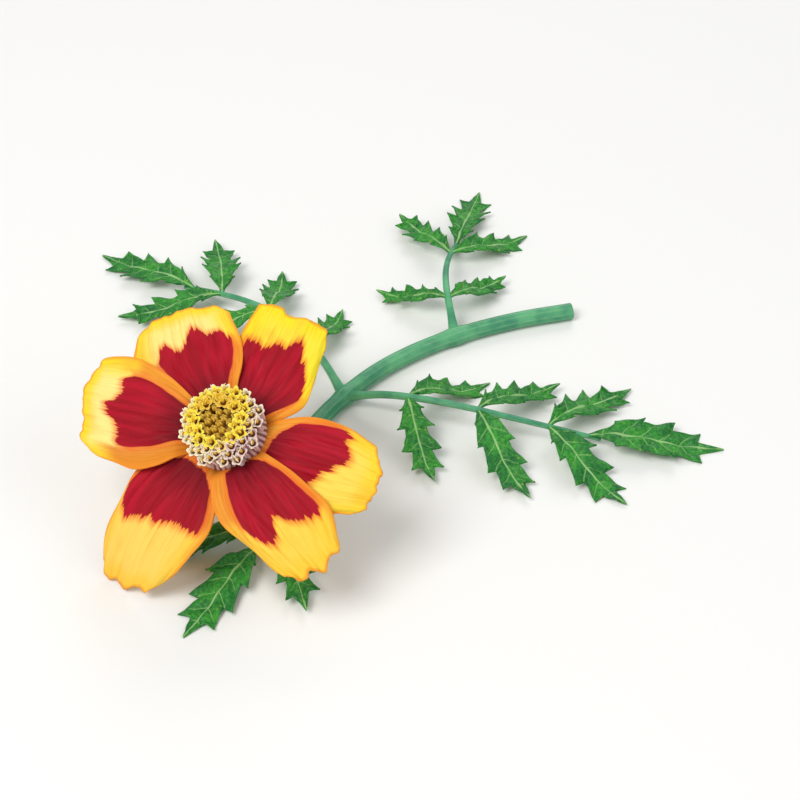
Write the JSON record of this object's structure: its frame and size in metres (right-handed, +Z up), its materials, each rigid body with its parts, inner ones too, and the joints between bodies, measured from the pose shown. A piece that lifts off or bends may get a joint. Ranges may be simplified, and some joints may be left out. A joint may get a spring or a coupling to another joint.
{
  "type": "marigold flower",
  "caption": "Single French marigold bloom as picked, with broad rays round a tufted disc, a ribbed green cup and a curved stem with toothed, feather-cut leaves, lying down.",
  "frame": {"origin": "middle of the whole flower's footprint, on the surface that it lies on", "axes": "+Z up from the surface; the bloom leans towards -Y and -X, and the stem runs from under it towards +X and +Y"},
  "size_m": [0.1109, 0.1178, 0.0316],
  "materials": {
    "green": "soft, slightly waxy leaf skin",
    "petal_red": "velvety petal, dark red with a yellow tip and an orange edge",
    "disc_yellow": "soft florets, yellow round a brown-gold middle"
  },
  "bodies": {
    "root": {"leafy_stem": "green", "ray_petals": "petal_red", "disc_florets": "disc_yellow"}
  },
  "joints": []
}
